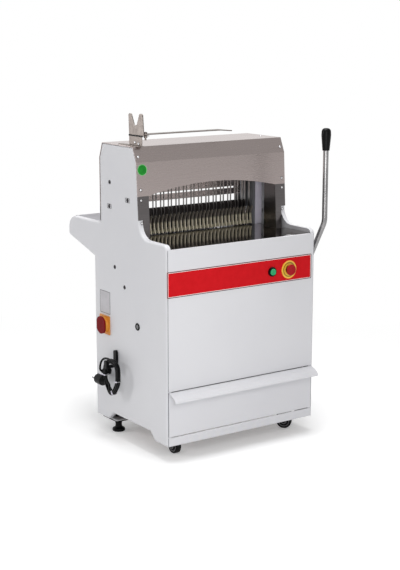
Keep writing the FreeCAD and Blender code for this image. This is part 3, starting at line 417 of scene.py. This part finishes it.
def turned(form, outline, centre, axis, closed=False, steps=36, finish=0, side=None):
    """Turn an outline of (radius, height) pairs about an axis; a radius may depend on the angle."""
    axis = axis.normalized()
    side = (side or axis.orthogonal()).normalized()
    other = axis.cross(side)
    rings = []
    for radius, height in outline:
        if radius == 0:
            rings.append([form.verts.new(centre + axis * height * MM)])
            continue
        ring = []
        for step in range(steps):
            angle = math.tau * step / steps
            reach = radius(angle) if callable(radius) else radius
            spoke = side * math.cos(angle) + other * math.sin(angle)
            ring.append(form.verts.new(centre + (axis * height + spoke * reach) * MM))
        rings.append(ring)
    pairs = list(zip(rings, rings[1:]))
    if closed:
        pairs.append((rings[-1], rings[0]))
    for low, high in pairs:
        for step in range(steps):
            following = (step + 1) % steps
            corners = [low[step % len(low)], low[following % len(low)],
                       high[following % len(high)], high[step % len(high)]]
            face = form.faces.new(list(dict.fromkeys(corners)))
            face.material_index = finish


def rounded(corners, radius, steps=5):
    """A flat outline with each corner rounded; corners are (u, v) pairs."""
    points = []
    count = len(corners)
    for index in range(count):
        here = Vector(corners[index])
        before = (Vector(corners[index - 1]) - here).normalized()
        after = (Vector(corners[(index + 1) % count]) - here).normalized()
        for step in range(steps + 1):
            share = step / steps
            first = here + before * radius * (1 - share) ** 2
            points.append(first + after * radius * share ** 2)
    return points


def rectangle(low, high, inset=0):
    return [(low[0] + inset, low[1] + inset), (high[0] - inset, low[1] + inset),
            (high[0] - inset, high[1] - inset), (low[0] + inset, high[1] - inset)]


def prism(form, points, offset, finish=0):
    """A flat outline of points pushed along an offset."""
    low = [form.verts.new(point) for point in points]
    high = [form.verts.new(point + offset) for point in points]
    faces = [form.faces.new(low), form.faces.new(high)]
    for index in range(len(points)):
        following = (index + 1) % len(points)
        faces.append(form.faces.new((low[index], low[following], high[following], high[index])))
    for face in faces:
        face.material_index = finish


def band(form, outer, inner, offset, finish=0):
    """A flat ring between two outlines of the same number of points, pushed along an offset."""
    loops = [outer, inner, [point + offset for point in inner], [point + offset for point in outer]]
    rings = [[form.verts.new(point) for point in loop] for loop in loops]
    for low, high in zip(rings, rings[1:] + rings[:1]):
        for index in range(len(low)):
            following = (index + 1) % len(low)
            face = form.faces.new((low[index], low[following], high[following], high[index]))
            face.material_index = finish


def on_front(points, depth):
    """Points of (across, height) in a plane that faces the front."""
    return [at(point[0], depth, point[1]) for point in points]


def on_side(points, across):
    """Points of (depth, height) in a plane that faces sideways."""
    return [at(across, point[0], point[1]) for point in points]


def on_level(points, height):
    """Points of (across, depth) in a level plane."""
    return [at(point[0], point[1], height) for point in points]


def bevelled(item, width, segments=2):
    """Soft edges on a piece."""
    modifier = item.modifiers.new("soft edges", "BEVEL")
    modifier.width = width * MM
    modifier.segments = segments
    modifier.limit_method = "ANGLE"
    modifier.angle_limit = SHARP_ANGLE
    return item


# ---------------------------------------------------------------- screws, rivets, plates

HALF_WIDTH = 310
SIDE_PLUG = (180, 377)
RATING_PLATE = ((360, 384), (428, 464))
CONTROL_STRIP = ((-308, 506), (295, 593))
SIDE_SCREWS = [(352, 851), (356, 768), (236, 801), (325, 560), (262, 499)]
RIVET_HEIGHTS = (841.5, 806.8, 730.7)
TOWER_SLOPE = 14 / 252


def hood_skin(height):
    """The depth of the hood's front sheet at a height."""
    return 165.2 + (height - 680) * TOWER_SLOPE


def socket_head(form, centre, axis, radius):
    """A button head with a hexagon socket, over a thin dark ring of painted shade round the head."""
    tall = radius * 0.36
    turned(form, [(radius * 1.12, 0), (radius * 1.12, 0.25), (radius * 0.9, 0.3), (radius * 0.9, 0)],
           centre, axis, closed=True, finish=1)
    turned(form, [
        (0, 0), (radius, 0), (radius, 0.35 * tall), (radius * 0.86, 0.75 * tall), (radius * 0.6, tall),
        (hexagon(radius * 0.85), tall), (hexagon(radius * 0.85), 0.25 * tall), (0, 0.25 * tall),
    ], centre, axis)


def build_fasteners():
    form = bmesh.new()
    for depth, height in SIDE_SCREWS:
        for side, axis in ((-1, LEFT), (1, RIGHT)):
            socket_head(form, at(HALF_WIDTH * side, depth, height), axis, 6.5)
    add_piece(form, "side_screws", [DARK_STEEL, BLACK_PRINT_AND_SHADE], "cabinet", ["fasteners"])
    form = bmesh.new()
    for depth, height in SIDE_SCREWS[1:3]:
        low, high = (depth - 14, height - 8), (depth + 14, height + 8)
        outer = on_side(rounded(rectangle(low, high), 4), -HALF_WIDTH)
        inner = on_side(rounded(rectangle(low, high, 1.2), 3), -HALF_WIDTH)
        band(form, outer, inner, LEFT * 0.5 * MM)
    add_piece(form, "screw_covers", [DARK_STEEL], "cabinet")
    form = bmesh.new()
    lean = Vector((0, -1, TOWER_SLOPE))
    for height in RIVET_HEIGHTS:
        for side in (-1, 1):
            centre = at(296 * side, hood_skin(height), height)
            # The dark ring round each rivet is painted shade.
            turned(form, [(5.2, 0), (5.2, 0.3), (3.4, 0.35), (3.4, 0)], centre, lean, closed=True, finish=1)
            turned(form, [(0, 0), (3.8, 0.1), (3.7, 0.9), (2.8, 1.7), (1.4, 2.1), (0, 2.2)], centre, lean)
    add_piece(form, "post_rivets", [RIVET_METAL, BLACK_PRINT_AND_SHADE], "cabinet")
    form = bmesh.new()
    chamfer = Vector((0, -0.919, 0.394))
    for side in (-1, 1):
        socket_head(form, at(297 * side, 187.1, 950.5), chamfer, 4.2)
        socket_head(form, at(285 * side, 287, 982.8), UP, 4.5)
    for depth, height in ((240, 993), (218, 990)):
        socket_head(form, at(-276, depth, height), LEFT, 4.5)
    add_piece(form, "hood_screws", [RIVET_METAL, BLACK_PRINT_AND_SHADE], "cabinet")
    form = bmesh.new()
    turned(form, [(0, 0), (13, 0), (13, 1.4), (12, 2.6), (8.6, 2.8), (7.6, 1.6), (0, 1.4)],
           at(-HALF_WIDTH, *SIDE_PLUG), LEFT)
    add_piece(form, "side_plug", [BLACK_PLASTIC], "cabinet")
    form = bmesh.new()
    turned(form, [(0, 1.3), (7.4, 1.5), (6.6, 2.1), (0, 2.3)], at(-HALF_WIDTH, *SIDE_PLUG), LEFT)
    add_piece(form, "side_plug_cap", [WHEEL_RING], "cabinet")


def build_plates():
    """The blank rating plate, the round label and the border of the control strip."""
    form = bmesh.new()
    skin = -HALF_WIDTH - 0.6
    prism(form, on_side(rounded(rectangle(*RATING_PLATE), 3), skin), RIGHT * 0.5 * MM)
    plate = add_piece(form, "rating_plate", [FOIL], "cabinet")
    bevelled(plate, 0.15)
    form = bmesh.new()
    outer = on_side(rounded(rectangle(*RATING_PLATE), 3), skin)
    inner = on_side(rounded(rectangle(*RATING_PLATE, 1.4), 2), skin)
    band(form, outer, inner, LEFT * 0.15 * MM)
    add_piece(form, "rating_border", [DARK_STEEL], "cabinet")
    form = bmesh.new()
    lean = Vector((0, -1, TOWER_SLOPE))
    centre = at(-287.5, hood_skin(907.5), 907.5)
    turned(form, [(0, 0.1), (16.6, 0.1), (16.6, 0.3), (0, 0.32)], centre, lean, steps=48)
    turned(form, [(16.6, 0.1), (18.5, 0.1), (18.5, 0.28), (16.6, 0.3)], centre, lean, True, 48, 1)
    add_piece(form, "round_label", [STICKER, STICKER_RIM], "cabinet")
    form = bmesh.new()
    lines = []
    for inset in (0, 2.4, 4.2):
        corners = rectangle(*CONTROL_STRIP, inset)
        lines.append(on_front(rounded(corners, 5 - inset * 0.6), -0.8))
    band(form, lines[0], lines[1], FRONT * 0.12 * MM)
    band(form, lines[1], lines[2], FRONT * 0.12 * MM, 1)
    add_piece(form, "strip_border", [BLACK_PRINT_AND_SHADE, STRIP_WHITE], "cabinet")


# ---------------------------------------------------------------- controls

CONTROL_HEIGHT = 548
BUTTON_ACROSS = 121
ESTOP_ACROSS = 194.5


def build_controls():
    form = bmesh.new()
    turned(form, [
        (0, 0), (9, 0), (9, 12), (11.4, 12), (11.4, 13.6), (10.7, 14.4), (9.4, 14.5), (8.4, 13.9), (0, 13.6),
    ], at(BUTTON_ACROSS, 4, CONTROL_HEIGHT), FRONT)
    add_piece(form, "start_cap", [GREEN], "start", ["start_button"])
    form = bmesh.new()
    turned(form, [(11.8, 0), (16.4, 0), (16.4, 0.8), (15.4, 2.4), (13, 2.4), (11.8, 1.2)],
           at(BUTTON_ACROSS, -5, CONTROL_HEIGHT), FRONT, closed=True)
    add_piece(form, "start_bezel", [BLACK_PLASTIC], "cabinet")
    form = bmesh.new()
    turned(form, [
        (0, 0), (6, 0), (6, 14), (14, 14), (19, 16.2), (19.5, 17.4), (19.3, 19.8), (18.2, 21.6),
        (16.2, 22.7), (14.5, 23), (12.5, 22.6), (6, 22.2), (0, 22.1),
    ], at(ESTOP_ACROSS, 4, CONTROL_HEIGHT), FRONT, steps=48)
    add_piece(form, "estop_mushroom", [RED_PLASTIC], "estop", ["estop_head"])
    form = bmesh.new()
    turned(form, [(22, 0), (26, 0), (26, 0.12), (22, 0.12)], at(ESTOP_ACROSS, -2.8, CONTROL_HEIGHT), FRONT,
           closed=True, steps=48)
    add_piece(form, "estop_ring", [OLIVE], "cabinet")


# ---------------------------------------------------------------- fork strip, feet, casters

def build_fork_strip():
    form = bmesh.new()
    prism(form, on_side(rounded(rectangle((190, 1013.5), (277, 1018.6)), 1.2), -278.2), RIGHT * 2.1 * MM)
    bevelled(add_piece(form, "fork_strip", [BLACK_PLASTIC], "cabinet"), 0.5)


FOOT_PLATE = ((232, 298), (345, 440))
FOOT = (264, 390)


def build_foot_edging():
    """The black edging around the plates that carry the levelling feet: a lip below and a rim beside; its
    black is partly painted shade along the plates' edges.
    """
    form = bmesh.new()
    height = -6.2
    across, depths = FOOT_PLATE
    for side in (-1, 1):
        low, high = zip(sorted(side * place for place in across), depths)
        for inset, rise in ((4.5, 1.1), (-0.1, 3.2)):
            outer = on_level(rounded(rectangle(low, high, -1.2), 4), height)
            inner = on_level(rounded(rectangle(low, high, inset), 3), height)
            band(form, outer, inner, UP * rise * MM)
    add_piece(form, "foot_plate_edging_and_shade", [FOOT_PLASTIC], "cabinet")


def build_feet():
    """Levelling feet: a flared pad, a sleeve over the screw, and the screw's end with its nut."""
    form = bmesh.new()
    nut = hexagon(17)
    for side in (-1, 1):
        turned(form, [
            (0, 0), (21.4, 0), (22.8, 1.6), (22.8, 8), (21.6, 10.4), (17, 12.4), (13.4, 15), (12, 19),
            (11.6, 27), (12.6, 30), (12.6, 34), (10.6, 36.5), (10.2, 48.9), (5, 48.9), (5, 54.2),
            (nut, 54.2), (nut, 59.6), (5, 60), (5, 65.4), (4.2, 66), (0, 66),
        ], at(FOOT[0] * side, FOOT[1], -FLOOR_HEIGHT), UP)
    add_piece(form, "levelling_foot_pads", [FOOT_PLASTIC], "cabinet", ["levelling_feet"])


# The joints' place across the machine, and the heights from which to which each stretch of one runs.
SEAM_ACROSS = (303.4, 304.9)
SEAM_RUNS = ((-0.5, 30), (33, 186), (189, 664))


def build_seam_shade():
    """Painted shade: dark strips along the joints between the front sheets and the folded side panels, for
    the shadow in their gaps.
    """
    form = bmesh.new()
    for side in (-1, 1):
        for low, high in SEAM_RUNS:
            start, end = sorted(place * side for place in SEAM_ACROSS)
            prism(form, on_front(rectangle((start, low), (end, high)), 1.3), FRONT * 1.25 * MM)
    add_piece(form, "front_seam_shade", [SEAM_SHADE], "cabinet")


# Each caster: how far across its swivel stands, and how far it is turned at rest, in degrees.
CASTERS = {"left": (-234, 0), "right": (234, 40)}
SWIVEL_DEPTH = 88
WHEEL_TRAIL = 16
WHEEL_HEIGHT = -26.5


def build_wheel_rings():
    for word, (across, heading) in CASTERS.items():
        turn = math.radians(heading)
        depth = SWIVEL_DEPTH - WHEEL_TRAIL * math.cos(turn)
        centre = at(across + WHEEL_TRAIL * math.sin(turn), depth, WHEEL_HEIGHT)
        axle = Vector((math.cos(turn), math.sin(turn), 0))
        form = bmesh.new()
        for axis in (axle, -axle):
            turned(form, [(17.8, 7.9), (20.6, 7.9), (21, 9), (20.4, 9.6), (18.2, 9.6), (17.8, 9)],
                   centre, axis, closed=True)
            turned(form, [(4.4, 7.9), (11, 11.9), (10.4, 12.5), (5, 12.6), (4.4, 12.2)],
                   centre, axis, closed=True)
        add_piece(form, f"wheel_rings_{word}", [WHEEL_RING], f"wheel_{word}")


# ---------------------------------------------------------------- mains lead's fittings

GLAND_DEPTH = 372
GLAND_HEIGHT = 182
PLUG_HEIGHT = 152


def build_gland():
    """A hexagon nut, a clamping dome and a ribbed tapered sleeve."""
    form = bmesh.new()
    nut = hexagon(27)
    outline = [(0, 0), (nut, 0), (nut, 6.4), (12.6, 7.4), (12.6, 8.4)]
    for rib in range(5):
        start = 9 + rib * 3.4
        radius = 12.8 - rib * 0.95
        outline += [
            (radius, start), (radius - 0.2, start + 1.7),
            (radius - 1.7, start + 2), (radius - 1.8, start + 3),
        ]
    outline += [(7.6, 26.5), (6.6, 30.2), (5.6, 31), (4.1, 31), (4.1, 26), (0, 26)]
    turned(form, outline, at(-HALF_WIDTH, GLAND_DEPTH, GLAND_HEIGHT), LEFT)
    add_piece(form, "lead_gland", [BLACK_PLASTIC], "cabinet", ["cable_gland"])


BUNDLE_MIDDLE = -344.3
# Each tie: its place on the coil, which way the coil runs there, and how long its loose tail is.
TIES = [((335, 180), (0.05, 1), 34), ((256.9, 172), (0, 1), 7), ((283.5, 127.5), (-0.87, 0.5), 8)]


def build_ties():
    form = bmesh.new()
    for (depth, height), run, tail in TIES:
        centre = at(BUNDLE_MIDDLE, depth, height)
        along = Vector((0, run[0], run[1])).normalized()
        turned(form, [(squared(8.2), -1.2), (squared(9.1), -1.2), (squared(9.1), 1.2), (squared(8.2), 1.2)],
               centre, along, closed=True, side=RIGHT)
        across = RIGHT.cross(along)
        corner = centre + (LEFT * 9.2 + across * 4) * MM
        block = [corner + (across * u + along * v) * MM
                 for u, v in rounded(rectangle((-3, -2.2), (3, 2.2)), 1)]
        prism(form, block, LEFT * 2.4 * MM, 1)
        strip = [corner + (LEFT * 1.2 - across * u + along * v) * MM
                 for u, v in rounded(rectangle((3, -1.3), (3 + tail, 1.3)), 1)]
        prism(form, strip, LEFT * 1 * MM, 1)
    add_piece(form, "coil_ties", [TIE_NYLON, NYLON], "cabinet")


def build_plug_details():
    form = bmesh.new()
    rear = Vector((0, 1, 0))
    for start in (358, 364, 370, 376, 382):
        ridge = [(17.6, 0), (18.4, 0.8), (18.4, 2.4), (17.6, 3.2)]
        turned(form, ridge, at(-343.6, start, PLUG_HEIGHT), rear, True, 40)
    add_piece(form, "plug_grips", [BLACK_PLASTIC], "cabinet")
    form = bmesh.new()
    for across in (-353.5, -334.5):
        pin = [(2.3, 0), (2.55, 0.2), (2.55, 17.4), (2.0, 18.7), (0, 19.1)]
        turned(form, pin, at(across, 400, PLUG_HEIGHT), rear)
    add_piece(form, "plug_pins", [MACHINED], "cabinet")


build_fasteners()
build_plates()
build_controls()
build_fork_strip()
build_foot_edging()
build_feet()
build_seam_shade()
build_wheel_rings()
build_gland()
build_ties()
build_plug_details()
build_cord()


# ---------------------------------------------------------------- floor, light and camera

FLOOR_GLOW = 0.21
AMBIENT = 0.44


def plain_math(tree, operation, first, second):
    node = tree.nodes.new("ShaderNodeMath")
    node.operation = operation
    for socket, value in zip(node.inputs, (first, second)):
        if isinstance(value, (int, float)):
            socket.default_value = value
        else:
            tree.links.new(value, socket)
    return node.outputs[0]


def build_floor():
    """A pale floor that keeps the object's shadow and is white to the camera further away."""
    material = bpy.data.materials.new("pale floor")
    material.use_nodes = True
    tree = material.node_tree
    tree.nodes.clear()
    rays = tree.nodes.new("ShaderNodeLightPath").outputs
    seen = plain_math(tree, "MAXIMUM", rays["Is Camera Ray"], rays["Is Glossy Ray"])
    seen = plain_math(tree, "MAXIMUM", seen, rays["Is Transmission Ray"])
    coordinates = tree.nodes.new("ShaderNodeTexCoord")
    length = tree.nodes.new("ShaderNodeVectorMath")
    length.operation = "LENGTH"
    tree.links.new(coordinates.outputs["Object"], length.inputs[0])
    away = tree.nodes.new("ShaderNodeMapRange")
    away.interpolation_type = "SMOOTHSTEP"
    away.inputs["From Min"].default_value = 0.8
    away.inputs["From Max"].default_value = 1.9
    tree.links.new(length.outputs["Value"], away.inputs["Value"])
    grain = tree.nodes.new("ShaderNodeTexNoise")
    grain.inputs["Scale"].default_value = 3
    tone = tree.nodes.new("ShaderNodeMix")
    tone.data_type = "RGBA"
    tone.inputs[6].default_value = srgb(246, 246, 246)
    tone.inputs[7].default_value = srgb(243, 243, 243)
    tree.links.new(grain.outputs["Fac"], tone.inputs[0])
    surface = tree.nodes.new("ShaderNodeBsdfDiffuse")
    tree.links.new(tone.outputs[2], surface.inputs["Color"])
    glow = tree.nodes.new("ShaderNodeEmission")
    tree.links.new(plain_math(tree, "MULTIPLY", seen, FLOOR_GLOW), glow.inputs["Strength"])
    near = tree.nodes.new("ShaderNodeAddShader")
    tree.links.new(surface.outputs[0], near.inputs[0])
    tree.links.new(glow.outputs[0], near.inputs[1])
    white = tree.nodes.new("ShaderNodeEmission")
    mix = tree.nodes.new("ShaderNodeMixShader")
    tree.links.new(plain_math(tree, "MULTIPLY", seen, away.outputs["Result"]), mix.inputs[0])
    tree.links.new(near.outputs[0], mix.inputs[1])
    tree.links.new(white.outputs[0], mix.inputs[2])
    output = tree.nodes.new("ShaderNodeOutputMaterial")
    tree.links.new(mix.outputs[0], output.inputs["Surface"])
    mesh = bpy.data.meshes.new("floor")
    form = bmesh.new()
    bmesh.ops.create_circle(form, cap_ends=True, segments=96, radius=14)
    form.to_mesh(mesh)
    form.free()
    mesh.materials.append(material)
    floor = bpy.data.objects.new("floor", mesh)
    bpy.context.scene.collection.objects.link(floor)


def build_world():
    """An even light on the object, white for the camera, and softly graded for reflections."""
    world = bpy.data.worlds.new("studio")
    bpy.context.scene.world = world
    world.use_nodes = True
    tree = world.node_tree
    tree.nodes.clear()
    rays = tree.nodes.new("ShaderNodeLightPath").outputs
    direction = tree.nodes.new("ShaderNodeTexCoord")
    parts = tree.nodes.new("ShaderNodeSeparateXYZ")
    tree.links.new(direction.outputs["Generated"], parts.inputs[0])
    graded = tree.nodes.new("ShaderNodeMapRange")
    graded.interpolation_type = "SMOOTHSTEP"
    graded.inputs["From Min"].default_value = -0.6
    graded.inputs["From Max"].default_value = 0.5
    graded.inputs["To Min"].default_value = 0.50
    graded.inputs["To Max"].default_value = 1.0
    tree.links.new(parts.outputs["Y"], graded.inputs["Value"])
    strength = AMBIENT
    plain = plain_math(tree, "MAXIMUM", rays["Is Camera Ray"], rays["Is Transmission Ray"])
    for chosen, value in ((rays["Is Glossy Ray"], graded.outputs["Result"]), (plain, 1.0)):
        mix = tree.nodes.new("ShaderNodeMix")
        tree.links.new(chosen, mix.inputs[0])
        for socket, item in ((mix.inputs[2], strength), (mix.inputs[3], value)):
            if isinstance(item, float):
                socket.default_value = item
            else:
                tree.links.new(item, socket)
        strength = mix.outputs[0]
    light = tree.nodes.new("ShaderNodeBackground")
    light.inputs["Color"].default_value = (1, 1, 1, 1)
    tree.links.new(strength, light.inputs["Strength"])
    output = tree.nodes.new("ShaderNodeOutputWorld")
    tree.links.new(light.outputs[0], output.inputs["Surface"])


def lamp(name, place, aim, size, power):
    light = bpy.data.lights.new(name, "AREA")
    light.shape = "SQUARE"
    light.size = size
    light.energy = power
    item = bpy.data.objects.new(name, light)
    bpy.context.scene.collection.objects.link(item)
    item.location = place
    item.rotation_mode = "QUATERNION"
    item.rotation_quaternion = (Vector(aim) - Vector(place)).to_track_quat("-Z", "Y")


def build_camera():
    data = bpy.data.cameras.new("camera")
    data.lens = 81.03
    data.sensor_width = 36
    camera = bpy.data.objects.new("camera", data)
    bpy.context.scene.collection.objects.link(camera)
    camera.location = (-2.5343, -3.7114, 1.4606)
    camera.rotation_euler = (math.radians(90 - 11.853), 0, math.radians(-34.655))
    bpy.context.scene.camera = camera


build_floor()
build_world()
lamp("front", (-0.75, -1.6, 0.9), (-0.1, -0.2, 0.4), 0.8, 9.6)
lamp("side", (-2.1, 1.65, 1.1), (-0.3, 0, 0.4), 0.3, 12)
lamp("top", (0, -0.2, 3.2), (0, 0, 0.4), 1.5, 60)
build_camera()
bpy.context.scene.view_settings.view_transform = "Standard"
